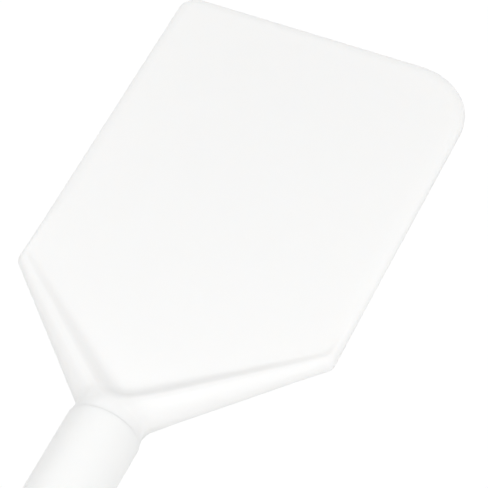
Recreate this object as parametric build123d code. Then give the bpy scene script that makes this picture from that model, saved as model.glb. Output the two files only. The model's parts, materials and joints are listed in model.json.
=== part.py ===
from build123d import *
import math
import os

# Paddle bench scraper: a moulded nylon head on a straight hollow round handle.
# Millimetres.  +Y runs from the butt to the scraping edge, +X across the blade,
# +Z square to the blade faces.  The origin is the centre of the hang hole and
# z = 0 is the mid plane.  The head and its tang are drawn with y = 0 at the
# handle mouth, then moved into place.

# ---------------------------------------------------------------- head, plan
BLADE_W = 114.3          # width over the sides, 4 1/2 in
BLADE_L = 184.0          # handle mouth to scraping edge
SHOULDER_Y = 51.8        # where the tapers meet the straight sides
TAPER_X0 = 12.7          # a point on the taper edge near the neck
TAPER_Y0 = 6.26
NECK_R = 12.3            # round neck, a little smaller than the handle
NECK_L = 16.5
NECK_COVER = 0.4         # plate corners lie this far inside the neck
PLATE_Y0 = 0.9           # handle mouth to the start of the plate
NECK_FILLET_R = 5.5      # concave run from the neck into the tapers
SHOULDER_R = 3.5
TIP_SMALL_R = 6.5        # corner on the -X side
TIP_LARGE_R = 24.0       # corner on the +X side

# ------------------------------------------------------------- head, heights
EDGE_H = 0.8             # half thickness of the thin rim all round
FLOOR_H = 2.2            # half thickness of the flat blade
BEVEL_W = 4.3            # width of the bevel behind the rim

# Raised ribs: values at the neck, and their fall per mm along the taper
CREST_H = 7.1            # half height of the crest
CREST_H_FALL = 0.073
CREST_INSET = 5.3        # crest to rim, in plan
CREST_INSET_FALL = 0.045
FOOT_INSET = 12.75       # foot of the recess wall to rim, in plan
FOOT_INSET_FALL = 0.134
# Outer rib face: (fraction of crest inset, fraction of rise from rim to crest)
RIB_PROFILE = [(0.0, 0.0), (0.30, 0.47), (0.62, 0.79), (1.0, 1.0)]
RIB_START, RIB_END = -16.0, 72.0    # loft stations along the taper
RIB_REACH = 58.0         # inward extent of the loft before it is trimmed
RIB_END_Y = 78.0         # trim toward the scraping edge
RIB_TRIM_H = 12.0        # half height of the trimming block

# Recess between the ribs
WALL_SLOPE = 45.0        # degrees from vertical
RECESS_APEX_R = 7.0      # rounding where the two sloping walls meet
RECESS_SIDE_R = 3.5
SIDE_FOOT_INSET = 4.2    # recess wall to rim along the straight sides
RECESS_END_Y = 100.0     # beyond the ribs
RECESS_CUT_H = 11.5

# -------------------------------------------------------------------- handle
TUBE_OD = 25.4           # 1 in tube
TUBE_ID = 20.6
TUBE_R = TUBE_OD / 2
MOUTH_R = 0.45           # outer edge rounding beside the head
TUBE_END_R = 0.7         # outer edge rounding beside the cap
OVERALL = 342.9          # 13 1/2 in, butt to scraping edge
BUTT_Y = -14.0
SEAM_Y = BUTT_Y + OVERALL - BLADE_L      # handle mouth
CAP_Y = 24.0             # joint between the end cap and the tube

# ----------------------------------------------------- tang inside the handle
FIT = 0.08               # radial gap of the parts that sit in the tube
PLUG_R = TUBE_ID / 2 - FIT    # outer radius of the tang and the spigot
JOIN = 0.5               # overlap of a plug with the body it grows from
GROOVE_R = 8.4           # bottom of the seal grooves
GROOVE_W = 2.8
TANG_L = 58.0
TANG_GROOVE_Y = -5.0     # groove end nearer the handle mouth
TANG_TIP_L = 3.0         # cone at the tip, length and radial depth
TANG_TIP_DEPTH = 2.4
WAIST_R = 6.2
WAIST_Y0, WAIST_Y1 = -39.0, -14.0
WAIST_RAMP = 3.0         # length of the cone at each end of the waist
WEB_T = 3.2              # crossed webs along the waist
WEB_Y0 = WAIST_Y0 - 1.0  # webs run on into the full round
PIN_R = 2.5
PIN_FIT = 0.05
PIN_BACK = 45.0          # cross pin, measured back from the handle mouth
PIN_Y = SEAM_Y - PIN_BACK
PIN_L = TUBE_OD - 0.5
PIN_CHAMFER = 0.35

# ------------------------------------------------------------------- end cap
BUTT_R = TUBE_R - 0.05   # plan rounding, just short of a full half circle
HANG_R = 5.0
HANG_EDGE_R = 1.0
TONGUE_H = 6.5           # half thickness of the flat tongue round the hole
TONGUE_END_Y = 8.0
TONGUE_EDGE_R = 1.6
RAMP_END_Y = 17.0        # the slopes from the tongue leave the cap before here
RAMP_END_H = TUBE_R + 0.6
SPIGOT_L = 22.0
SPIGOT_TIP_L = 2.0       # cone at the tip, length and radial depth
SPIGOT_TIP_DEPTH = 1.6
SPIGOT_BORE_R = 5.6
SPIGOT_BORE_Y = CAP_Y + 3.0
CAP_GROOVE_Y = CAP_Y + 4.0

# --------------------------------------------------------------------- seals
SEAL_GAP = 0.03          # radial, inside and outside
SEAL_W = GROOVE_W - 0.4
SEAL_EDGE_R = 0.7

THROUGH = 40.0           # length of cutters that pass right through the handle
TOL = 1e-6

# Unit vector along the +X taper.  (TAPER_DY, -TAPER_DX) points out of it.
TAPER_L = math.hypot(BLADE_W / 2 - TAPER_X0, SHOULDER_Y - TAPER_Y0)
TAPER_DX = (BLADE_W / 2 - TAPER_X0) / TAPER_L
TAPER_DY = (SHOULDER_Y - TAPER_Y0) / TAPER_L

# Inner corner of the plate, on the line of the taper
PLATE_X0 = NECK_R - NECK_COVER
PLATE_TAPER_Y = TAPER_Y0 + (PLATE_X0 - TAPER_X0) * TAPER_DY / TAPER_DX


# ------------------------------------------------------------------- helpers
def rounded_face(corners, z):
    """Planar face at height z through (x, y, radius) corners."""
    points = [Vector(x, y, z) for x, y, _ in corners]
    edges = []
    stops = []           # where the outline enters and leaves each corner
    for i, point in enumerate(points):
        radius = corners[i][2]
        if radius == 0:
            stops.append((point, point))
            continue
        back = (points[i - 1] - point).normalized()
        ahead = (points[(i + 1) % len(points)] - point).normalized()
        half_angle = math.acos(back.dot(ahead)) / 2
        tangent = radius / math.tan(half_angle)
        to_middle = radius / math.sin(half_angle) - radius
        start, end = point + back * tangent, point + ahead * tangent
        middle = point + (back + ahead).normalized() * to_middle
        edges.append(ThreePointArc(start, middle, end))
        stops.append((start, end))
    for i in range(len(stops)):
        start, end = stops[i][1], stops[(i + 1) % len(stops)][0]
        if (end - start).length > TOL:
            edges.append(Line(start, end))
    return make_face(edges)


def extrude_up(face, height, taper=0.0):
    return extrude(face, height, dir=(0, 0, 1), taper=taper)


def mirror_z(shape):
    return mirror(shape, Plane.XY)


def cut_both_faces(body, cutter):
    """Cut with a +Z side cutter and its mirror image below."""
    return body - cutter - mirror_z(cutter)


def y_cylinder(radius, y0, y1):
    plane = Plane(origin=(0, y0, 0), x_dir=(1, 0, 0), z_dir=(0, 1, 0))
    return extrude(plane * Circle(radius), y1 - y0)


def x_cylinder(radius, length, y):
    return Pos(0, y, 0) * Rot(0, 90, 0) * Cylinder(radius, length)


def pin_hole(y):
    return x_cylinder(PIN_R + PIN_FIT, THROUGH, y)


def revolved(points):
    """Solid of revolution about Y from (radius, y) points."""
    outline = Polyline(*[(radius, y, 0) for radius, y in points], close=True)
    return revolve(make_face(outline), Axis.Y)


def groove_points(y0, y1):
    """(radius, y) points of a seal groove from y0 to y1."""
    return [(PLUG_R, y0), (GROOVE_R, y0), (GROOVE_R, y1), (PLUG_R, y1)]


# ---------------------------------------------------------------------- head
def at_taper(along, inset):
    """Plan point that far along the +X taper and in from its edge."""
    return (
        TAPER_X0 + TAPER_DX * along - TAPER_DY * inset,
        TAPER_Y0 + TAPER_DY * along + TAPER_DX * inset,
    )


def make_blade():
    """Flat blade: a thin rim slab with a bevel rising to each flat face."""
    half_w = BLADE_W / 2
    outline = [
        (PLATE_X0, PLATE_Y0, 0),
        (PLATE_X0, PLATE_TAPER_Y, NECK_FILLET_R),
        (half_w, SHOULDER_Y, SHOULDER_R),
        (half_w, BLADE_L, TIP_LARGE_R),
        (-half_w, BLADE_L, TIP_SMALL_R),
        (-half_w, SHOULDER_Y, SHOULDER_R),
        (-PLATE_X0, PLATE_TAPER_Y, NECK_FILLET_R),
        (-PLATE_X0, PLATE_Y0, 0),
    ]
    slab = extrude_up(rounded_face(outline, -EDGE_H), 2 * EDGE_H)
    rise = FLOOR_H - EDGE_H
    bevel_angle = math.degrees(math.atan2(BEVEL_W, rise))
    bevel = extrude_up(rounded_face(outline, EDGE_H), rise, taper=bevel_angle)
    return slab + bevel + mirror_z(bevel)


def rib_section(along):
    """Cross-section of the raised body, square to the +X taper."""
    # Local x runs inward from the taper edge, local y is +Z.
    plane = Plane(
        origin=(*at_taper(along, 0.0), 0.0),
        x_dir=(-TAPER_DY, TAPER_DX, 0),
        z_dir=(TAPER_DX, TAPER_DY, 0),
    )
    height = CREST_H - CREST_H_FALL * along
    inset = CREST_INSET - CREST_INSET_FALL * max(along, 0.0)
    upper = [(run * inset, EDGE_H + rise * (height - EDGE_H)) for run, rise in RIB_PROFILE]
    upper.append((RIB_REACH, height))
    lower = [(x, -y) for x, y in reversed(upper)]
    return plane * make_face(Polyline(*upper, *lower, close=True))


def make_raised_body():
    """Raised body behind both tapers, before the recess is cut."""
    body = loft([rib_section(RIB_START), rib_section(RIB_END)], ruled=True)
    trim = rounded_face(
        [
            (0, PLATE_Y0, 0),
            (PLATE_X0, PLATE_Y0, 0),
            (PLATE_X0, PLATE_TAPER_Y, NECK_FILLET_R),
            (BLADE_W / 2, SHOULDER_Y, SHOULDER_R),
            (BLADE_W / 2, RIB_END_Y, 0),
            (0, RIB_END_Y, 0),
        ],
        -RIB_TRIM_H,
    )
    body = body & extrude_up(trim, 2 * RIB_TRIM_H)
    return body + mirror(body, Plane.YZ)


def make_recess():
    """Cutter for the recess between the ribs, +Z side."""
    neck_x, neck_y = at_taper(0.0, FOOT_INSET)
    shoulder_x, shoulder_y = at_taper(TAPER_L, FOOT_INSET - FOOT_INSET_FALL * TAPER_L)
    slope = (shoulder_y - neck_y) / (shoulder_x - neck_x)
    apex_y = neck_y - slope * neck_x
    side_x = BLADE_W / 2 - SIDE_FOOT_INSET
    side_y = neck_y + slope * (side_x - neck_x)
    foot = rounded_face(
        [
            (0, apex_y, RECESS_APEX_R),
            (side_x, side_y, RECESS_SIDE_R),
            (side_x, RECESS_END_Y, 0),
            (-side_x, RECESS_END_Y, 0),
            (-side_x, side_y, RECESS_SIDE_R),
        ],
        FLOOR_H,
    )
    return extrude_up(foot, RECESS_CUT_H, taper=-WALL_SLOPE)


def make_tang():
    """Round tang with a seal groove and a waist stiffened by crossed webs."""
    tang = revolved(
        [
            (0, JOIN),
            (PLUG_R, JOIN),
            *groove_points(TANG_GROOVE_Y, TANG_GROOVE_Y - GROOVE_W),
            (PLUG_R, WAIST_Y1),
            (WAIST_R, WAIST_Y1 - WAIST_RAMP),
            (WAIST_R, WAIST_Y0 + WAIST_RAMP),
            (PLUG_R, WAIST_Y0),
            (PLUG_R, -TANG_L + TANG_TIP_L),
            (PLUG_R - TANG_TIP_DEPTH, -TANG_L),
            (0, -TANG_L),
        ]
    )
    for width, height in ((2 * PLUG_R, WEB_T), (WEB_T, 2 * PLUG_R)):
        web = Pos(0, (WEB_Y0 + WAIST_Y1) / 2, 0) * Box(width, WAIST_Y1 - WEB_Y0, height)
        tang = tang + (web & y_cylinder(PLUG_R, WEB_Y0, WAIST_Y1))
    return tang


def make_head():
    recess = make_recess()
    blade = make_blade()
    raised = cut_both_faces(make_raised_body(), recess)
    # The round neck runs on between the ribs until the recess cuts it off.
    neck = cut_both_faces(y_cylinder(NECK_R, 0.0, NECK_L), recess)
    head = blade + raised + neck
    head = head + make_tang() - pin_hole(-PIN_BACK)
    return Pos(0, SEAM_Y, 0) * head


# --------------------------------------------------------------- handle tube
def circles(shape, radius):
    return (
        shape.edges()
        .filter_by(GeomType.CIRCLE)
        .filter_by(lambda edge: abs(edge.radius - radius) < TOL)
    )


def make_tube():
    tube = y_cylinder(TUBE_R, CAP_Y, SEAM_Y) - y_cylinder(TUBE_ID / 2, CAP_Y - 1, SEAM_Y + 1)
    tube = fillet(circles(tube, TUBE_R).sort_by(Axis.Y)[-1], MOUTH_R)
    tube = fillet(circles(tube, TUBE_R).sort_by(Axis.Y)[0], TUBE_END_R)
    return tube - pin_hole(PIN_Y)


# ------------------------------------------------------------------- end cap
def make_spigot():
    tip_y = CAP_Y + SPIGOT_L
    spigot = revolved(
        [
            (0, CAP_Y - JOIN),
            (PLUG_R, CAP_Y - JOIN),
            *groove_points(CAP_GROOVE_Y, CAP_GROOVE_Y + GROOVE_W),
            (PLUG_R, tip_y - SPIGOT_TIP_L),
            (PLUG_R - SPIGOT_TIP_DEPTH, tip_y),
            (0, tip_y),
        ]
    )
    return spigot - y_cylinder(SPIGOT_BORE_R, SPIGOT_BORE_Y, tip_y + 1)


def make_cap():
    cap = y_cylinder(TUBE_R, BUTT_Y, CAP_Y)
    butt_plan = rounded_face(
        [
            (-TUBE_R, BUTT_Y, BUTT_R),
            (TUBE_R, BUTT_Y, BUTT_R),
            (TUBE_R, CAP_Y, 0),
            (-TUBE_R, CAP_Y, 0),
        ],
        -THROUGH / 2,
    )
    cap = cap & extrude_up(butt_plan, THROUGH)

    # Flats above and below the tongue, sloping out to the full round
    flat_profile = Polyline(
        (0, BUTT_Y - 2, TONGUE_H),
        (0, TONGUE_END_Y, TONGUE_H),
        (0, RAMP_END_Y, RAMP_END_H),
        (0, RAMP_END_Y, THROUGH / 2),
        (0, BUTT_Y - 2, THROUGH / 2),
        close=True,
    )
    flat_cut = extrude(make_face(flat_profile), THROUGH / 2, dir=(1, 0, 0), both=True)
    cap = cut_both_faces(cap, flat_cut)

    # Round the tongue edges, but not the lines where the slopes begin.
    flat_edges = cap.faces().filter_by(Axis.Z).edges()
    cap = fillet(
        flat_edges.filter_by(lambda edge: edge.center().Y < TONGUE_END_Y - 0.5), TONGUE_EDGE_R
    )
    cap = cap - Cylinder(HANG_R, THROUGH)
    hole_edges = circles(cap, HANG_R).filter_by(lambda edge: abs(edge.arc_center.Y) < TOL)
    cap = fillet(hole_edges, HANG_EDGE_R)
    return cap + make_spigot()


# -------------------------------------------------------------- small pieces
def make_pin():
    pin = x_cylinder(PIN_R, PIN_L, PIN_Y)
    return chamfer(pin.edges().filter_by(GeomType.CIRCLE), PIN_CHAMFER)


def make_seal(y):
    """O-ring at its squeezed section, centred at y in its groove."""
    outer = y_cylinder(TUBE_ID / 2 - SEAL_GAP, y - SEAL_W / 2, y + SEAL_W / 2)
    ring = outer - y_cylinder(GROOVE_R + SEAL_GAP, y - SEAL_W, y + SEAL_W)
    return fillet(ring.edges().filter_by(GeomType.CIRCLE), SEAL_EDGE_R)


parts = {
    "paddle_head": make_head(),
    "handle_tube": make_tube(),
    "end_cap": make_cap(),
    "tang_pin": make_pin(),
    "neck_seal": make_seal(SEAM_Y + TANG_GROOVE_Y - GROOVE_W / 2),
    "cap_seal": make_seal(CAP_GROOVE_Y + GROOVE_W / 2),
}

os.makedirs("parts", exist_ok=True)
for name, shape in parts.items():
    export_step(shape, f"parts/{name}.step")
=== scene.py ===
import json
import math

import bmesh
import bpy
import numpy as np
from mathutils import Matrix, Vector


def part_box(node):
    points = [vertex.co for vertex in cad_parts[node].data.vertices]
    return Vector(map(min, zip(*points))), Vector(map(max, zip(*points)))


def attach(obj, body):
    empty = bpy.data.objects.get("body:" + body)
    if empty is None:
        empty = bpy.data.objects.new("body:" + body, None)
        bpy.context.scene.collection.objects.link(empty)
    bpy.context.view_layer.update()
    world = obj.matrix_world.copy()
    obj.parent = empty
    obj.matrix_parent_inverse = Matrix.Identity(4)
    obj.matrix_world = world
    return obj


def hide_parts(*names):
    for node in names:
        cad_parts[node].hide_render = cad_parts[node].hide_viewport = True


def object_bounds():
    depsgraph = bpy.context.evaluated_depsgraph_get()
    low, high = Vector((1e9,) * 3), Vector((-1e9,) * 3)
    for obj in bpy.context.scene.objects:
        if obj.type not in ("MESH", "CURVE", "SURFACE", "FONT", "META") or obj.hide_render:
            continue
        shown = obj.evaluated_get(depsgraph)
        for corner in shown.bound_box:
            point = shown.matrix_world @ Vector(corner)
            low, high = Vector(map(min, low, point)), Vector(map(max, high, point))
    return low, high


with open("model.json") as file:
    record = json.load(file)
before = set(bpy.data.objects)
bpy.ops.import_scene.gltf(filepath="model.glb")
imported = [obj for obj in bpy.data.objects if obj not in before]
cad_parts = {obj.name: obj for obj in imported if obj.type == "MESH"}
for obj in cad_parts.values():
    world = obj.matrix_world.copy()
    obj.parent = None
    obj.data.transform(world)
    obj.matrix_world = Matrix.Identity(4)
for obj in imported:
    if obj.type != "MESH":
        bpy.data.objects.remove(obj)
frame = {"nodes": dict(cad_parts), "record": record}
cad_lo, cad_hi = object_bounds()

# Shapes are worked out in millimetres and scaled to metres as meshes are made.
MM = 0.001

# ------------------------------------------------- dimensions taken from the frame
head_lo, head_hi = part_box("paddle_head")
tube_lo, tube_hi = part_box("handle_tube")
cap_lo, cap_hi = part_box("end_cap")
pin_lo, pin_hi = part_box("tang_pin")
SEAM_Y = tube_hi.y / MM             # mouth of the handle, where the head starts
CAP_TOP = tube_lo.y / MM            # joint of cap and tube
BUTT_Y = cap_lo.y / MM
SPIGOT_END = cap_hi.y / MM
HALF_WIDTH = head_hi.x / MM
TUBE_R = tube_hi.x / MM
PIN_Y = (pin_lo.y + pin_hi.y) / 2 / MM
PIN_R = (pin_hi.z - pin_lo.z) / 2 / MM
FLOOR_Z = cad_lo.z / MM
# in head coordinates, whose y starts at the handle mouth
HEAD_LENGTH = head_hi.y / MM - SEAM_Y
TANG_END = head_lo.y / MM - SEAM_Y

# ------------------------------------------------------------ dimensions shared
PIN_CLEARANCE = 0.05
PIN_CUTTER_LENGTH = 40.0
PIN_CUTTER_SIDES = 72
PLUG_R = 10.22                      # tang and spigot, where they fit the bore
GROOVE_R = 8.4
GROOVE_WIDTH = 2.8
END_ROUND = 0.7                     # round on both sides of the cap joint
SHARP_ANGLE = math.radians(38)      # steeper edges are shaded sharp


# -------------------------------------------------------------- blending curves
def smoothstep(t):
    t = np.clip(t, 0.0, 1.0)
    return t * t * (3 - 2 * t)


def smootherstep(t):
    t = np.clip(t, 0.0, 1.0)
    return t * t * t * (t * (6 * t - 15) + 10)


def ramp(value, start, length):
    """Rises smoothly from 0 at start to 1 a length further on."""
    return smoothstep((value - start) / length)


def quarter_round(t):
    """Height of a unit quarter circle that starts upright at t = 0."""
    return np.sqrt(1 - (1 - np.clip(t, 0, 1)) ** 2)


def soft_max(a, b, blend):
    h = np.clip(0.5 + 0.5 * (a - b) / blend, 0, 1)
    return b * (1 - h) + a * h + blend * h * (1 - h)


def soft_min(a, b, blend):
    return -soft_max(-a, -b, blend)


def fair_max(a, b, blend):
    """As soft_max, with no jump in curvature where the blend starts and stops."""
    h = np.clip(1 - np.abs(a - b) / blend, 0, 1)
    return np.maximum(a, b) + blend / 6 * h**3


# ---------------------------------------------------------- plan lines and arcs
def wrap_angle(angle):
    return (angle + math.pi) % (2 * math.pi) - math.pi


class Line:
    def __init__(self, start, end):
        self.start, self.end = start, end

    def sample(self, fractions):
        """Points and left-hand normals at fractions of the way along."""
        run = self.end - self.start
        normal = np.array([-run[1], run[0]]) / np.hypot(*run)
        return self.start + np.outer(fractions, run), np.tile(normal, (len(fractions), 1))

    def distance(self, points):
        run = self.end - self.start
        t = np.clip(((points - self.start) @ run) / (run @ run), 0, 1)
        return np.hypot(*(points - self.start - np.outer(t, run)).T)


class Arc:
    def __init__(self, centre, radius, start, end):
        self.centre, self.radius, self.start, self.end = centre, radius, start, end
        self.first = math.atan2(start[1] - centre[1], start[0] - centre[0])
        last = math.atan2(end[1] - centre[1], end[0] - centre[0])
        self.sweep = wrap_angle(last - self.first)

    def sample(self, fractions):
        """Points and left-hand normals at fractions of the way along."""
        angles = self.first + self.sweep * np.asarray(fractions)
        radial = np.c_[np.cos(angles), np.sin(angles)]
        return self.centre + self.radius * radial, (-radial if self.sweep > 0 else radial)

    def distance(self, points):
        x, y = (points - self.centre).T
        off_middle = wrap_angle(np.arctan2(y, x) - (self.first + self.sweep / 2))
        to_ends = np.minimum(
            np.hypot(*(points - self.start).T), np.hypot(*(points - self.end).T)
        )
        within = np.abs(off_middle) <= abs(self.sweep) / 2
        return np.where(within, np.abs(np.hypot(x, y) - self.radius), to_ends)


def corner_arc(before, corner, after, radius):
    to_before, to_after = before - corner, after - corner
    to_before /= np.hypot(*to_before)
    to_after /= np.hypot(*to_after)
    half_angle = math.acos(float(np.clip(to_before @ to_after, -1, 1))) / 2
    middle = to_before + to_after
    middle /= np.hypot(*middle)
    centre = corner + middle * radius / math.sin(half_angle)
    setback = radius / math.tan(half_angle)
    return Arc(centre, radius, corner + to_before * setback, corner + to_after * setback)


def rounded_path(corners, radii):
    """Lines and arcs along an open row of corners; radius 0 leaves one sharp."""
    corners = [np.array(corner, float) for corner in corners]
    pieces = []
    current = corners[0]
    for i in range(1, len(corners) - 1):
        if radii[i] > 0:
            arc = corner_arc(*corners[i - 1 : i + 2], radii[i])
            pieces += [Line(current, arc.start), arc]
            current = arc.end
        else:
            pieces.append(Line(current, corners[i]))
            current = corners[i]
    pieces.append(Line(current, corners[-1]))
    return pieces


def path_distance(pieces, points):
    return np.min([piece.distance(points) for piece in pieces], axis=0)


def inside(points, polygon):
    """Even-odd test of points against a closed polygon."""
    x, y = points.T
    hit = np.zeros(len(points), bool)
    for (x0, y0), (x1, y1) in zip(polygon, np.roll(polygon, -1, axis=0)):
        if y0 != y1:
            crosses = (y0 > y) != (y1 > y)
            hit ^= crosses & (x < (x1 - x0) * (y - y0) / (y1 - y0) + x0)
    return hit


# ----------------------------------------------------------------- mesh helpers
def make_object(name, verts, faces):
    """Links a mesh object whose vertices are given in millimetres."""
    mesh = bpy.data.meshes.new(name)
    scaled = [(x * MM, y * MM, z * MM) for x, y, z in verts]
    mesh.from_pydata(scaled, [], [tuple(face) for face in faces])
    mesh.validate()
    mesh.update()
    made = bpy.data.objects.new(name, mesh)
    bpy.context.scene.collection.objects.link(made)
    return made


def strip(first, second):
    """Quads between two open rows of vertex indices."""
    return zip(first, first[1:], second[1:], second)


def bridge(first, second):
    """Quads between two closed loops of vertex indices."""
    return zip(first, first[1:] + first[:1], second[1:] + second[:1], second)


def add_underside(verts, rim):
    """Appends the mirror image in z of every vertex off the rim, which both halves
    share, and returns the index of each vertex's image."""
    below = []
    for index, (x, y, z) in enumerate(list(verts)):
        if index in rim:
            below.append(index)
        else:
            below.append(len(verts))
            verts.append((x, y, -z))
    return below


def section_loop(row, below):
    """Closed loop: over the top along row and back underneath."""
    return row + [below[i] for i in reversed(row[1:-1])]


WEB_HALF = 1.6                      # half thickness of the four webs


def section_radius(angle, radius, core=None):
    """Radius of a plain round section, or of a core with four webs on X and Z."""
    if core is None:
        return radius
    off_web = angle % (math.pi / 2)
    off_web = min(off_web, math.pi / 2 - off_web)
    return min(radius, max(core, WEB_HALF / max(math.sin(off_web), 1e-4)))


def add_round_sections(verts, faces, loop, stations):
    """Carries a loop on through stations (radius, y[, core]) and closes it at the last."""
    angles = [math.atan2(verts[i][2], verts[i][0]) for i in loop]
    for radius, y, *core in stations:
        ring = list(range(len(verts), len(verts) + len(loop)))
        for angle in angles:
            reach = section_radius(angle, radius, *core)
            verts.append((reach * math.cos(angle), y, reach * math.sin(angle)))
        faces += bridge(loop, ring)
        loop = ring
    centre = len(verts)
    verts.append((0.0, y, 0.0))
    faces += [(a, b, centre) for a, b in zip(loop, loop[1:] + loop[:1])]


def face_outward(target):
    bm = bmesh.new()
    bm.from_mesh(target.data)
    bmesh.ops.recalc_face_normals(bm, faces=bm.faces)
    if bm.calc_volume(signed=True) < 0:
        bmesh.ops.reverse_faces(bm, faces=bm.faces)
    bm.to_mesh(target.data)
    bm.free()


def shade(target):
    for polygon in target.data.polygons:
        polygon.use_smooth = True
    bm = bmesh.new()
    bm.from_mesh(target.data)
    for edge in bm.edges:
        if len(edge.link_faces) == 2 and edge.calc_face_angle(0.0) > SHARP_ANGLE:
            edge.smooth = False
    bm.to_mesh(target.data)
    bm.free()
    target.data.update()


def pin_cutter():
    """A closed rod along X, a little wider than the pin."""
    radius, sides = PIN_R + PIN_CLEARANCE, PIN_CUTTER_SIDES
    verts = []
    for side in (-1, 1):
        for i in range(sides):
            angle = 2 * math.pi * (i + 0.5) / sides
            y, z = PIN_Y + radius * math.cos(angle), radius * math.sin(angle)
            verts.append((side * PIN_CUTTER_LENGTH / 2, y, z))
    left, right = list(range(sides)), list(range(sides, 2 * sides))
    faces = list(bridge(left, right)) + [left[::-1], right]
    cutter = make_object("cutter", verts, faces)
    face_outward(cutter)
    return cutter


def cut_pin_hole(target):
    """Cuts the pin's hole and keeps the result as the target's own mesh."""
    cutter = pin_cutter()
    modifier = target.modifiers.new("cut", "BOOLEAN")
    modifier.operation, modifier.object, modifier.solver = "DIFFERENCE", cutter, "EXACT"
    depsgraph = bpy.context.evaluated_depsgraph_get()
    result = bpy.data.meshes.new_from_object(target.evaluated_get(depsgraph))
    target.modifiers.clear()
    uncut, name = target.data, target.data.name
    target.data = result
    bpy.data.meshes.remove(uncut)
    result.name = name
    cutter_mesh = cutter.data
    bpy.data.objects.remove(cutter)
    bpy.data.meshes.remove(cutter_mesh)


def finish_piece(target, node):
    shade(target)
    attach(target, "root")
    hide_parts(node)


# ------------------------------------------------------------------ head outline
# Head coordinates: x across, y from the handle mouth towards the tip.
NECK_R = 12.3
LIP = 0.08                          # bevel at the mouth
TAPER_START = np.array([12.7, 6.26])    # a point on the straight flare of the side
SHOULDER_Y = 51.8
NECK_ROUND, SHOULDER_ROUND = 5.5, 3.5
LEFT_TIP_ROUND, RIGHT_TIP_ROUND = 6.5, 24.0
EDGE_HALF, BLADE_HALF = 0.8, 2.2    # half thickness at the rim and in the recess

_flare = np.array([HALF_WIDTH, SHOULDER_Y]) - TAPER_START
TAPER_X, TAPER_Y = _flare / np.hypot(*_flare)
NECK_END_Y = TAPER_START[1] + (NECK_R - TAPER_START[0]) * TAPER_Y / TAPER_X


def head_side(side, tip_round):
    """Outline of one side (-1 left, 1 right), from the mouth to the middle of the tip."""
    corners = [
        (side * (NECK_R - LIP), 0.0),
        (side * NECK_R, LIP),
        (side * NECK_R, NECK_END_Y),
        (side * HALF_WIDTH, SHOULDER_Y),
        (side * HALF_WIDTH, HEAD_LENGTH),
        (0.0, HEAD_LENGTH),
    ]
    return rounded_path(corners, [0, 0, NECK_ROUND, SHOULDER_ROUND, tip_round, 0])


LEFT_SIDE = head_side(-1, LEFT_TIP_ROUND)
RIGHT_SIDE = head_side(1, RIGHT_TIP_ROUND)

# The foot of the recess wall is a V with its apex towards the handle.  Its arms
# close in on the taper, and its ends run on past the tip.
FOOT_INSET, FOOT_CLOSING = 17.4, 0.176  # inset from the taper, and its loss per mm
FOOT_REACH = 63.6
FOOT_SIDE_INSET = 4.6
FOOT_APEX_ROUND, FOOT_SIDE_ROUND = 2.5, 4.0
FOOT_FAR_Y = 400.0
FOOT_ARC_POINTS = 40


def from_taper(along, inset):
    """The point at a distance along the right-hand taper and inset from it."""
    return TAPER_START + np.array(
        [TAPER_X * along - TAPER_Y * inset, TAPER_Y * along + TAPER_X * inset]
    )


def recess_foot():
    near = from_taper(0, FOOT_INSET)
    far = from_taper(FOOT_REACH, FOOT_INSET - FOOT_CLOSING * FOOT_REACH)
    slope = (far[1] - near[1]) / (far[0] - near[0])
    apex_y = near[1] - slope * near[0]
    side_x = HALF_WIDTH - FOOT_SIDE_INSET
    side_y = near[1] + slope * (side_x - near[0])
    corners = [
        (-side_x, FOOT_FAR_Y), (-side_x, side_y), (0.0, apex_y),
        (side_x, side_y), (side_x, FOOT_FAR_Y),
    ]
    return rounded_path(corners, [0, FOOT_SIDE_ROUND, FOOT_APEX_ROUND, FOOT_SIDE_ROUND, 0])


RECESS_FOOT = recess_foot()
RECESS_POLYGON = np.vstack([
    piece.sample(np.linspace(0, 1, FOOT_ARC_POINTS if isinstance(piece, Arc) else 2))[0]
    for piece in RECESS_FOOT
])


# ------------------------------------------------------------------- head surface
# In these functions "along" is the distance along the taper, "edge" the distance
# to the outline, and "root" is 1 next to the neck and 0 further on.
CREST_START, CREST_FALL = 7.1, 0.073    # rib height, and its loss per mm along
ROOT_RISE = 1.0
SHOULDER_LIP = 0.5
RIM_ROUND = 0.75
RIB_ROUND_POWER = 1.6


def crest_height(along, root):
    """Half thickness at the top of the ribs."""
    crest = soft_max(CREST_START - CREST_FALL * along, BLADE_HALF, blend=0.5)
    # the rib ends in a low lip that curls round the shoulder
    lip_on = ramp(along, start=50.0, length=12.0)
    lip_off = ramp(along, start=65.0, length=7.0)
    crest = crest + SHOULDER_LIP * lip_on * (1 - lip_off)
    # next to the neck the rib grows taller, to run into it
    return crest + ROOT_RISE * root


def rib_surface(y, along, edge, crest, root):
    """Rounded outer side of the ribs, turning into the blade's bevel."""
    # width of the rounded side: start, loss per mm along, least, and gain at the root
    rib_width = np.maximum(5.6 - 0.057 * along, 1.4) + 0.3 * root
    # the bevel narrows up the blade and widens a little near the tip
    bevel_width = (
        5.1
        - 1.2 * ramp(y, start=90.0, length=60.0)
        + 0.5 * ramp(y, start=HEAD_LENGTH - 12.0, length=8.0)
    )
    mix = ramp(along, start=68.0, length=20.0)
    width = rib_width * (1 - mix) + bevel_width * mix
    rise = 1 - np.clip(edge / width, 0, 1)
    outer = (1 - rise**RIB_ROUND_POWER) ** (1 / RIB_ROUND_POWER)
    fade = ramp(y, start=0.4, length=5.6)
    return EDGE_HALF * quarter_round(edge / RIM_ROUND) + (crest - EDGE_HALF) * outer * fade


NECK_SLOPE = 0.31
NECK_TAPER_START, NECK_TAPER_END = 3.0, 24.0
NECK_TAPER_BLEND = 3.0              # softness of the taper's start, mm squared
NECK_MOUTH_OFFSET = 0.2320          # keeps the full radius at the mouth
NECK_OFFSET_RETURN = 0.2319         # and is given back past it
FLANK_START = 0.80                  # flanks start at this share of the radius
NECK_DROP = 24.0                    # takes the neck below the blade at its end


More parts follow.
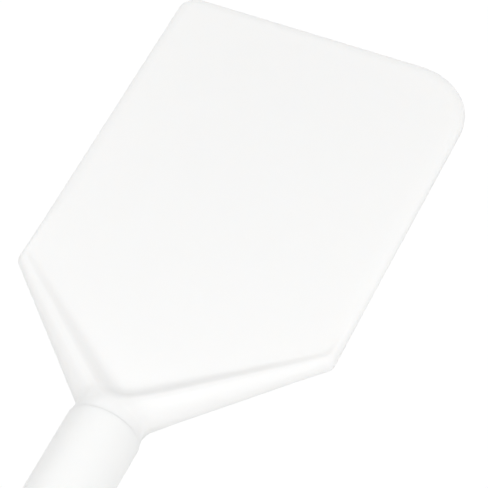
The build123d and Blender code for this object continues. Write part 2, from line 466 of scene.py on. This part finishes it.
def neck_surface(x, y, edge):
    """The round neck, which tapers in gently until the recess cuts it off."""
    past = np.minimum(y, NECK_TAPER_END) - NECK_TAPER_START
    soft_past = 0.5 * (past + np.sqrt(past * past + NECK_TAPER_BLEND))
    offset = NECK_OFFSET_RETURN * ramp(y, start=0.0, length=6.0) - NECK_MOUTH_OFFSET
    neck = NECK_R - NECK_SLOPE * (soft_past + offset)
    radius = np.where(y < LIP, NECK_R - LIP + y, neck)
    barrel = np.sqrt(np.maximum(radius * radius - x * x, 0.0))
    # the flanks run on straight at the end, so that they meet the ribs fair
    flank = FLANK_START * neck
    height = np.sqrt(neck**2 - flank**2)
    straight = height - flank / height * (np.abs(x) - flank)
    share = ramp(y, start=1.0, length=6.0) * ramp(edge, start=0.0, length=2.5)
    barrel = np.where(np.abs(x) > flank, barrel + (straight - barrel) * share, barrel)
    return barrel - NECK_DROP * ramp(y, start=22.0, length=8.0)


def neck_blend(x, y, edge):
    """Width of the blend between neck and ribs: none at the mouth or the rim, and
    less along the middle, where the neck keeps its own line."""
    widest, least = 5.5, 1e-6
    from_mouth = ramp(y, start=0.4, length=4.5)
    from_rim = ramp(edge, start=0.0, length=2.0)
    off_middle = 0.3 + 0.7 * ramp(np.abs(x), start=2.5, length=6.0)
    return (widest * from_mouth * from_rim + least) * off_middle


def recess_wall(points, along, over):
    """Share of the height left by the recess: 0 on its floor, 1 outside its wall."""
    foot = path_distance(RECESS_FOOT, points)
    foot = np.where(inside(points, RECESS_POLYGON), 0.0, foot)
    # wall width: start, loss per mm along, least, and gain per mm over the crest
    width = np.maximum(10.3 - 0.108 * along, 2.2) + 0.85 * over
    # the power makes the wall steeper towards its top, long and soft at its foot
    t = np.clip(foot / width, 0, 1) ** 1.4
    return 0.5 * smoothstep(t) + 0.5 * smootherstep(t)


def head_half_thickness(points):
    x, y = points.T
    edge = path_distance(RIGHT_SIDE + LEFT_SIDE, points)
    # |x| rounded off along the middle, so that the two sides meet smoothly
    soft_x = np.sqrt(x * x + 9.0) - 0.9
    along = (soft_x - TAPER_START[0]) * TAPER_X + (y - TAPER_START[1]) * TAPER_Y
    root = 1 - ramp(along, start=-6.0, length=18.0)
    crest = crest_height(along, root)
    ribs = rib_surface(y, along, edge, crest, root)
    body = fair_max(ribs, neck_surface(x, y, edge), neck_blend(x, y, edge))
    over = soft_max(body - crest, 0.0, blend=1.2)
    wall = recess_wall(points, along, over)
    return np.where(body > BLADE_HALF, BLADE_HALF + (body - BLADE_HALF) * wall, body)


# ---------------------------------------------------------------------- head mesh
# Rings follow the outline at these insets; a patch fills what they enclose.
RING_INSETS = [
    0.0, 0.012, 0.05, 0.11, 0.19, 0.29, 0.41, 0.55, 0.72, 0.95, 1.3, 1.7, 2.15, 2.65, 3.2,
]
# Steps along each piece of a side: lip, neck, neck round, taper, shoulder round,
# blade side and the first half of the tip corner.
SIDE_STEPS = (4, 6, 14, 118, 14, 46, 22)
NECK_PIECE, BLADE_PIECE, TIP_CORNER = 1, 5, 6
MOUTH_POINTS = 6                    # points at the mouth whose rings slide along X
LEFT_CORNER_STEPS, TIP_STEPS, RIGHT_CORNER_STEPS = 16, 100, 32
HEAD_MIDDLE = np.array([0.0, 90.0])

WEB_CORE = 6.2
# The tang, from the mouth back into the handle: radius, y and, on the webbed
# stretch, the radius of the core between the webs.
TANG_STATIONS = [
    (PLUG_R + 0.25, 0.0),
    (PLUG_R, -0.25),
    (PLUG_R, -5.0),
    (GROOVE_R, -5.0),
    (GROOVE_R, -5.0 - GROOVE_WIDTH),
    (PLUG_R, -5.0 - GROOVE_WIDTH),
    (PLUG_R, -14.0),
    (PLUG_R - 0.3, -14.3, WEB_CORE + 0.88 * (PLUG_R - 0.3 - WEB_CORE)),
    (PLUG_R, -16.5, WEB_CORE),
    (PLUG_R, -36.5, WEB_CORE),
    (PLUG_R, -38.6, WEB_CORE + 0.84 * (PLUG_R - WEB_CORE)),
    (PLUG_R, -39.0),
    (PLUG_R, TANG_END + 3.0),
    (PLUG_R - 2.4, TANG_END),
    (4.0, TANG_END),
    (0.6, TANG_END),
]


def face_middle(points, normals):
    """Turns each normal so that it points into the head."""
    normals = normals.copy()
    normals[((HEAD_MIDDLE - points) * normals).sum(1) < 0] *= -1
    return normals


def sample_side(outline):
    points, normals = [], []
    for index, steps in enumerate(SIDE_STEPS):
        fractions = np.linspace(0, 1, steps + 1)
        if index == NECK_PIECE:
            fractions = fractions**1.2
        elif index == BLADE_PIECE:
            # closer together near the shoulder, where the rib runs out
            fractions = 0.45 * fractions + 0.55 * fractions**2
        elif index == TIP_CORNER:
            fractions = fractions * 0.5
        piece_points, piece_normals = outline[index].sample(fractions)
        if index > 0:
            # shared points take the mean normal of the pieces that meet there
            mean = normals[-1] + piece_normals[0]
            normals[-1] = mean / np.hypot(*mean)
            piece_points, piece_normals = piece_points[1:], piece_normals[1:]
        points += list(piece_points)
        normals += list(piece_normals)
    points = np.array(points)
    normals = face_middle(points, np.array(normals))
    # at the mouth the rings slide straight across, so that rows keep apart
    normals[:MOUTH_POINTS, 0] = np.sign(normals[0][0])
    normals[:MOUTH_POINTS, 1] = 0.0
    return points, normals


def sample_tip():
    """The tip, from the middle of the left corner to the middle of the right one."""
    left, right = LEFT_SIDE[TIP_CORNER], RIGHT_SIDE[TIP_CORNER]
    runs = [
        left.sample(0.5 + 0.5 * np.linspace(0, 1, LEFT_CORNER_STEPS + 1)),
        Line(left.end, right.end).sample(np.linspace(0, 1, TIP_STEPS + 1)),
        right.sample(1.0 - 0.5 * np.linspace(0, 1, RIGHT_CORNER_STEPS + 1)),
    ]
    points, normals = (
        np.vstack([first, second[1:], third[1:]]) for first, second, third in zip(*runs)
    )
    return points, face_middle(points, normals)


def path_fractions(points):
    lengths = np.concatenate([[0], np.cumsum(np.hypot(*np.diff(points, axis=0).T))])
    return lengths / lengths[-1]


def coons_patch(left, right, tip):
    """Grid of plan points between both sides, the tip and a straight mouth line."""
    mouth = left[0] + np.outer(np.linspace(0, 1, len(tip)), right[0] - left[0])
    rows = (path_fractions(left) + path_fractions(right)) / 2
    across, up = (part[..., None] for part in np.meshgrid(path_fractions(tip), rows))
    grid = (
        (1 - across) * left[:, None]
        + across * right[:, None]
        + (1 - up) * mouth[None]
        + up * tip[None]
        - ((1 - across) * (1 - up)) * left[0]
        - (across * (1 - up)) * right[0]
        - ((1 - across) * up) * tip[0]
        - (across * up) * tip[-1]
    )
    # the border takes its points exactly
    grid[:, 0], grid[:, -1], grid[0], grid[-1] = left, right, mouth, tip
    return grid


def build_head():
    left, left_in = sample_side(LEFT_SIDE)
    right, right_in = sample_side(RIGHT_SIDE)
    tip, tip_in = sample_tip()
    inset = RING_INSETS[-1]
    grid = coons_patch(left + inset * left_in, right + inset * right_in, tip + inset * tip_in)

    # the rings run from the left of the mouth round to the right
    outline = np.vstack([left, tip[1:-1], right[::-1]])
    outline_in = np.vstack([left_in, tip_in[1:-1], right_in[::-1]])
    bands = [outline + ring_inset * outline_in for ring_inset in RING_INSETS[:-1]]
    plan = np.vstack([grid.reshape(-1, 2)] + bands)

    row_count, column_count = grid.shape[:2]
    patch_size, ring_size = row_count * column_count, len(outline)
    patch = np.arange(patch_size).reshape(row_count, column_count).tolist()
    rings = [
        list(range(patch_size + k * ring_size, patch_size + (k + 1) * ring_size))
        for k in range(len(bands))
    ]
    border = [row[0] for row in patch] + patch[-1][1:-1] + [row[-1] for row in patch[::-1]]
    rim = rings[0]

    z = head_half_thickness(plan)
    z[rim] = 0.0
    verts = np.c_[plan, z].tolist()
    below = add_underside(verts, set(rim))

    faces = []
    for row, next_row in zip(patch, patch[1:]):
        faces += strip(row, next_row)
    for outer, inner in zip(rings, rings[1:] + [border]):
        faces += zip(outer, inner, inner[1:], outer[1:])
    faces += [tuple(below[i] for i in reversed(quad)) for quad in faces]

    mouth = [ring[0] for ring in rings] + patch[0] + [ring[-1] for ring in rings[::-1]]
    add_round_sections(verts, faces, section_loop(mouth, below), TANG_STATIONS)
    head = make_object("head_moulding", [(x, y + SEAM_Y, z) for x, y, z in verts], faces)
    face_outward(head)
    cut_pin_hole(head)
    finish_piece(head, "paddle_head")
    return head


# -------------------------------------------------------------------- handle tube
BORE_R = 10.3
MOUTH_ROUND = 0.38
BORE_MOUTH_ROUND, BORE_END_ROUND = 0.35, 0.3
TUBE_SIDES = 168
TUBE_RINGS = (0.03, 0.2, 0.3, 0.45, 0.6, 0.8, 0.97)    # shares of the straight length


def arc_points(centre_x, centre_y, radius, start, end, steps):
    """Points on an arc between two angles in degrees."""
    angles = [math.radians(start + (end - start) * i / steps) for i in range(steps + 1)]
    return [(centre_x + radius * math.cos(a), centre_y + radius * math.sin(a)) for a in angles]


def build_tube():
    straight_top = SEAM_Y - MOUTH_ROUND
    straight = straight_top - CAP_TOP - END_ROUND
    # closed outline of (radius, y), turned about Y
    outline = (
        arc_points(
            BORE_R + BORE_MOUTH_ROUND, SEAM_Y - BORE_MOUTH_ROUND, BORE_MOUTH_ROUND, 180, 90, 5
        )
        + arc_points(TUBE_R - MOUTH_ROUND, straight_top, MOUTH_ROUND, 90, 0, 16)
        + [(TUBE_R, straight_top - share * straight) for share in TUBE_RINGS]
        + arc_points(TUBE_R - END_ROUND, CAP_TOP + END_ROUND, END_ROUND, 0, -90, 8)
        + arc_points(
            BORE_R + BORE_END_ROUND, CAP_TOP + BORE_END_ROUND, BORE_END_ROUND, -90, -180, 4
        )
    )
    verts, faces, rings = [], [], []
    for radius, y in outline:
        rings.append(list(range(len(verts), len(verts) + TUBE_SIDES)))
        for i in range(TUBE_SIDES):
            angle = 2 * math.pi * i / TUBE_SIDES
            verts.append((radius * math.cos(angle), y, radius * math.sin(angle)))
    for ring, next_ring in zip(rings, rings[1:] + rings[:1]):
        faces += bridge(ring, next_ring)
    tube = make_object("handle_sleeve", verts, faces)
    face_outward(tube)
    cut_pin_hole(tube)
    finish_piece(tube, "handle_tube")
    return tube


# ------------------------------------------------------------------------ end cap
HOLE_R, HOLE_ROUND = 5.0, 1.2
TONGUE_HALF, TONGUE_RISE = 6.5, 14.4    # flat at the hole, and its rise to the tube
TONGUE_BLEND = 2.6
RIM_BAND = 1.5                      # inside this band the blend fades out
BUTT_CENTRE_Y = BUTT_Y + TUBE_R
PATCH_TOP = 13.0                    # the patch round the hole ends here
COLUMNS, SIDE_COLUMNS, BUTT_COLUMNS = 72, 18, 72
HOLE_RINGS = (0, 0.04, 0.12, 0.25, 0.42, 0.62, 0.85, 1.1)  # in hole rounds
OUTER_RINGS = 22
BODY_ROWS = 17
JOINT_ROWS = (0.75, 0.5, 0.3, 0.14, 0.04, 0.0)             # in end rounds, below the joint
SOCKET_R = 5.6
# the spigot and the socket in its end: radius, y
SPIGOT_STATIONS = [
    (PLUG_R, CAP_TOP),
    (PLUG_R, CAP_TOP + 4.0),
    (GROOVE_R, CAP_TOP + 4.0),
    (GROOVE_R, CAP_TOP + 4.0 + GROOVE_WIDTH),
    (PLUG_R, CAP_TOP + 4.0 + GROOVE_WIDTH),
    (PLUG_R, SPIGOT_END - 2.0),
    (PLUG_R - 1.6, SPIGOT_END),
    (SOCKET_R + 0.3, SPIGOT_END),
    (SOCKET_R, SPIGOT_END - 0.3),
    (SOCKET_R, CAP_TOP + 3.6),
    (5.0, CAP_TOP + 3.0),
    (0.8, CAP_TOP + 3.0),
]


def cap_half_thickness(x, y):
    from_axis = np.where(y < BUTT_CENTRE_Y, np.hypot(x, y - BUTT_CENTRE_Y), np.abs(x))
    round_body = np.sqrt(np.maximum(TUBE_R**2 - from_axis**2, 0.0))
    tongue = TONGUE_HALF + TONGUE_RISE * ramp(y, start=7.0, length=15.0) ** 1.15
    z = soft_min(tongue, round_body, TONGUE_BLEND)
    # at the rim the blend fades out, so that the sides stay fair
    share = np.clip((TUBE_R - from_axis) / RIM_BAND, 0, 1)
    z = z * share + np.minimum(tongue, round_body) * (1 - share)
    z = z - HOLE_ROUND * (1 - quarter_round((np.hypot(x, y) - HOLE_R) / HOLE_ROUND))
    return np.maximum(z, 0.0)


def hole_patch_border(columns):
    """Along the patch's top from left to right, then round the butt and back."""
    reach = BUTT_CENTRE_Y - PATCH_TOP
    border = [(x, PATCH_TOP) for x in columns]
    for i in range(1, SIDE_COLUMNS + 1):
        border.append((TUBE_R, PATCH_TOP + reach * i / SIDE_COLUMNS))
    for i in range(1, BUTT_COLUMNS):
        angle = -math.pi * i / BUTT_COLUMNS
        border.append((TUBE_R * math.cos(angle), BUTT_CENTRE_Y + TUBE_R * math.sin(angle)))
    for i in range(SIDE_COLUMNS):
        border.append((-TUBE_R, BUTT_CENTRE_Y - reach * i / SIDE_COLUMNS))
    return np.array(border)


def build_cap():
    # columns lie closer together at the rims
    columns = -np.cos(np.linspace(0, math.pi, COLUMNS + 1)) * TUBE_R
    border = hole_patch_border(columns)
    size = len(border)
    hole = HOLE_R * border / np.hypot(*border.T)[:, None]
    span = np.hypot(*(border - hole).T)
    direction = (border - hole) / span[:, None]

    # distance of each ring from the hole; towards the rim the rings close up
    reaches = [np.full(size, HOLE_ROUND * step) for step in HOLE_RINGS]
    last = reaches[-1]
    on_top = np.arange(size) <= COLUMNS
    for k in range(1, OUTER_RINGS + 1):
        even = k / OUTER_RINGS
        share = np.where(on_top, even, math.sin(even * math.pi / 2))
        reaches.append(last + (span - last) * share)

    plan, rings, faces = [], [], []
    for reach in reaches:
        rings.append(list(range(len(plan), len(plan) + size)))
        plan += list(hole + direction * reach[:, None])
    for ring, next_ring in zip(rings, rings[1:]):
        faces += bridge(ring, next_ring)

    # rows from the patch to the tube
    rim = set(rings[-1][COLUMNS:] + rings[-1][:1])
    row = rings[-1][: COLUMNS + 1]
    row_heights = list(np.linspace(PATCH_TOP, CAP_TOP - END_ROUND, BODY_ROWS))[1:]
    row_heights += [CAP_TOP - END_ROUND * step for step in JOINT_ROWS]
    for y in row_heights:
        next_row = list(range(len(plan), len(plan) + COLUMNS + 1))
        plan += [(x, y) for x in columns]
        faces += strip(row, next_row)
        rim |= {next_row[0], next_row[-1]}
        row = next_row

    x, y = np.array(plan, float).T
    z = cap_half_thickness(x, y)
    # the whole section shrinks a little at the tube, for the rounded joint edge
    shrink = END_ROUND * (1 - quarter_round((CAP_TOP - y) / END_ROUND))
    scale = (TUBE_R - shrink) / TUBE_R
    z[list(rim)] = 0.0
    verts = np.c_[x * scale, y, z * scale].tolist()
    below = add_underside(verts, rim)
    faces = [face[::-1] for face in faces] + [tuple(below[i] for i in face) for face in faces]
    # wall of the hang hole
    faces += bridge(rings[0], [below[i] for i in rings[0]])
    add_round_sections(verts, faces, section_loop(row, below), SPIGOT_STATIONS)
    cap = make_object("hang_cap", verts, faces)
    face_outward(cap)
    finish_piece(cap, "end_cap")
    return cap


# ---------------------------------------------------------------------- materials
def cleared_tree(owner):
    owner.use_nodes = True
    owner.node_tree.nodes.clear()
    return owner.node_tree


def add_node(tree, kind, inputs=None, **settings):
    """Adds a shader node; inputs given as sockets are linked, others are set."""
    node = tree.nodes.new("ShaderNode" + kind)
    for key, value in settings.items():
        setattr(node, key, value)
    for key, value in (inputs or {}).items():
        if isinstance(value, bpy.types.NodeSocket):
            tree.links.new(value, node.inputs[key])
        else:
            node.inputs[key].default_value = value
    return node


def multiply_add(tree, value, factor, offset):
    inputs = {0: value, 1: factor, 2: offset}
    return add_node(tree, "Math", inputs, operation="MULTIPLY_ADD").outputs["Value"]


COLOURS = {entry["slot"]: entry["base_color"] for entry in frame["record"]["materials"]}


def plastic(name, slot, *, rough, grain_mm, bump, mottling, subsurface, seed, line_mm=None):
    """Plastic with fine tool texture, faint flow mottling, a little light scattered
    under the skin and rubbed edges; line_mm adds drawing lines along Y."""
    material = bpy.data.materials.new(name)
    tree = cleared_tree(material)
    position = add_node(tree, "Mapping", {
        "Vector": add_node(tree, "TexCoord").outputs["Object"],
        "Location": (seed, seed * 0.7, seed * 0.3),
    }).outputs["Vector"]

    # cloudy flow mottling; texture scales are per metre
    cloud = add_node(tree, "TexNoise", {
        "Vector": position, "Scale": 38.0, "Detail": 4.0, "Roughness": 0.55,
    })
    red, green, blue = COLOURS[slot][:3]
    dark, light = 1 - mottling, 1 + mottling
    # the dark tone loses a little more blue
    base = add_node(tree, "Mix", {
        "Factor": cloud.outputs["Fac"],
        "A": (red * dark, green * dark, blue * (1 - mottling * 1.4), 1),
        "B": (min(red * light, 1), min(green * light, 1), min(blue * light, 1), 1),
    }, data_type="RGBA")

    # grain and pits of the mould surface
    fine = add_node(tree, "TexNoise", {
        "Vector": position, "Scale": 1000.0 / grain_mm, "Detail": 3.0, "Roughness": 0.6,
    }).outputs["Fac"]
    pits = add_node(tree, "TexVoronoi", {
        "Vector": position, "Scale": 1000.0 / (grain_mm * 2.4),
    }).outputs["Distance"]
    height = multiply_add(tree, pits, factor=0.5, offset=fine)
    if line_mm:
        stretched = add_node(tree, "Mapping", {"Vector": position, "Scale": (1.0, 0.02, 1.0)})
        lines = add_node(tree, "TexNoise", {
            "Vector": stretched.outputs["Vector"], "Scale": 1000.0 / line_mm, "Detail": 2.0,
        })
        height = multiply_add(tree, lines.outputs["Fac"], factor=0.9, offset=height)
    relief = add_node(tree, "Bump", {"Strength": bump, "Distance": 0.00004, "Height": height})

    # the grain varies the roughness, and edges are rubbed smoother
    edge = add_node(tree, "MapRange", {
        "Value": add_node(tree, "NewGeometry").outputs["Pointiness"],
        "From Min": 0.52, "From Max": 0.62,
    }).outputs["Result"]
    grain_rough = multiply_add(tree, fine, factor=0.16, offset=rough - 0.08)
    roughness = multiply_add(tree, edge, factor=-0.10, offset=grain_rough)

    shader = add_node(tree, "BsdfPrincipled", {
        "Base Color": base.outputs["Result"],
        "Roughness": roughness,
        "Normal": relief.outputs["Normal"],
        "IOR": 1.5,
        "Specular IOR Level": 0.42,
        "Subsurface Weight": subsurface,
        "Subsurface Radius": (1.0, 0.95, 0.90),
        "Subsurface Scale": 0.0030,
    })
    add_node(tree, "OutputMaterial", {"Surface": shader.outputs["BSDF"]})
    return material


def dress(head, tube, cap):
    nylon = plastic(
        "nylon_satin", "nylon_head", rough=0.42, grain_mm=0.32, bump=0.22,
        mottling=0.006, subsurface=0.45, seed=0.0,
    )
    sleeve = plastic(
        "polypropylene_drawn", "handle_plastic", rough=0.46, grain_mm=0.30, bump=0.25,
        mottling=0.006, subsurface=0.40, seed=3.1, line_mm=0.45,
    )
    moulded = plastic(
        "polypropylene_moulded", "cap_plastic", rough=0.48, grain_mm=0.42, bump=0.34,
        mottling=0.008, subsurface=0.40, seed=5.7,
    )
    rod = plastic(
        "nylon_rod", "pin_plastic", rough=0.40, grain_mm=0.25, bump=0.25,
        mottling=0.012, subsurface=0.12, seed=8.3,
    )
    rubber = plastic(
        "silicone", "seal_rubber", rough=0.55, grain_mm=0.20, bump=0.15,
        mottling=0.02, subsurface=0.25, seed=11.9,
    )
    nodes = frame["nodes"]
    for target, material in (
        (head, nylon), (tube, sleeve), (cap, moulded),
        (nodes["tang_pin"], rod), (nodes["neck_seal"], rubber), (nodes["cap_seal"], rubber),
    ):
        target.data.materials.clear()
        target.data.materials.append(material)


# -------------------------------------------------------------------------- stage
BACKDROP = 1.02                     # brightness the camera sees on floor and world
FLOOR_HALF = 6000.0


def build_floor():
    half = FLOOR_HALF
    corners = [(-half, -half), (half, -half), (half, half), (-half, half)]
    floor = make_object("studio_floor", [(x, y, FLOOR_Z) for x, y in corners], [(0, 1, 2, 3)])
    material = bpy.data.materials.new("pale_floor")
    tree = cleared_tree(material)
    diffuse = add_node(tree, "BsdfDiffuse", {"Color": (0.93, 0.93, 0.93, 1)})
    glow = add_node(tree, "Emission", {"Color": (1, 1, 1, 1), "Strength": BACKDROP})
    # the camera sees an even glow, the other rays a pale floor
    mix = add_node(tree, "MixShader", {
        "Fac": add_node(tree, "LightPath").outputs["Is Camera Ray"],
        1: diffuse.outputs["BSDF"],
        2: glow.outputs["Emission"],
    })
    add_node(tree, "OutputMaterial", {"Surface": mix.outputs["Shader"]})
    floor.data.materials.append(material)


# Large soft sources in the world: elevation and azimuth in degrees, tightness,
# strength.
SOFT_SOURCES = [
    (90, 0, 3.0, 1.018),
    (38, 0, 5.0, 0.527),
    (38, 135, 5.0, 0.498),
    (38, 180, 5.0, 0.430),
    (6, 45, 5.0, 0.690),
    (6, 225, 5.0, 0.048),
    (6, 270, 5.0, 0.690),
]


def build_world():
    """Each source gives strength * exp(tightness * (cosine - 1)) off its axis."""
    world = bpy.data.worlds.new("studio")
    bpy.context.scene.world = world
    tree = cleared_tree(world)
    view = add_node(tree, "TexCoord").outputs["Generated"]
    total = None
    for elevation, azimuth, tightness, strength in SOFT_SOURCES:
        up, turn = math.radians(elevation), math.radians(azimuth)
        axis = (math.cos(up) * math.cos(turn), math.cos(up) * math.sin(turn), math.sin(up))
        cosine = add_node(tree, "VectorMath", {0: view, 1: axis}, operation="DOT_PRODUCT")
        power = multiply_add(tree, cosine.outputs["Value"], tightness, -tightness)
        falloff = add_node(tree, "Math", {0: power}, operation="EXPONENT").outputs["Value"]
        source = multiply_add(tree, falloff, strength, offset=0.0)
        if total is not None:
            tree.links.new(total, source.node.inputs[2])
        total = source
    seen = add_node(tree, "Mix", {
        "Factor": add_node(tree, "LightPath").outputs["Is Camera Ray"],
        "A": total,
        "B": BACKDROP,
    }, data_type="FLOAT")
    background = add_node(tree, "Background", {
        "Color": (1, 1, 1, 1), "Strength": seen.outputs["Result"],
    })
    add_node(tree, "OutputWorld", {"Surface": background.outputs["Background"]})


LIGHT_TARGET = Vector((0.0, 0.2, 0.0))  # metres
LIGHT_SIZE = 0.5


def add_light(name, location, energy):
    data = bpy.data.lights.new(name, "AREA")
    data.shape = "DISK"
    data.size = LIGHT_SIZE
    data.energy = energy
    light = bpy.data.objects.new(name, data)
    light.location = location
    light.rotation_mode = "QUATERNION"
    light.rotation_quaternion = (LIGHT_TARGET - Vector(location)).to_track_quat("-Z", "Y")
    bpy.context.scene.collection.objects.link(light)


CAMERA_EYE = Vector((311.83, SEAM_Y - 507.71, 798.3)) * MM
CAMERA_VIEW = Vector((-0.2908, 0.5720, -0.7670))
CAMERA_UP = Vector((-0.2964, 0.7084, 0.6406))
LENS_MM, SENSOR_MM = 231.2705, 36.0


def add_camera():
    data = bpy.data.cameras.new("camera")
    camera = bpy.data.objects.new("camera", data)
    bpy.context.scene.collection.objects.link(camera)
    forward = CAMERA_VIEW.normalized()
    right = forward.cross(CAMERA_UP).normalized()
    up = right.cross(forward).normalized()
    rotation = Matrix((right, up, -forward)).transposed()
    camera.matrix_world = Matrix.Translation(CAMERA_EYE) @ rotation.to_4x4()
    data.sensor_width = SENSOR_MM
    data.lens = LENS_MM
    data.clip_start, data.clip_end = 0.01, 50.0
    bpy.context.scene.camera = camera


def set_view():
    view = bpy.context.scene.view_settings
    view.view_transform = "Standard"
    view.look = "None"
    view.exposure = 0.0
    view.gamma = 1.0


# -------------------------------------------------------------------------- build
dress(build_head(), build_tube(), build_cap())
build_floor()
build_world()
add_light("near_right", location=(0.30, -0.20, 0.45), energy=0.888)
add_light("near_left", location=(-0.20, -0.20, 0.50), energy=0.237)
add_camera()
set_view()
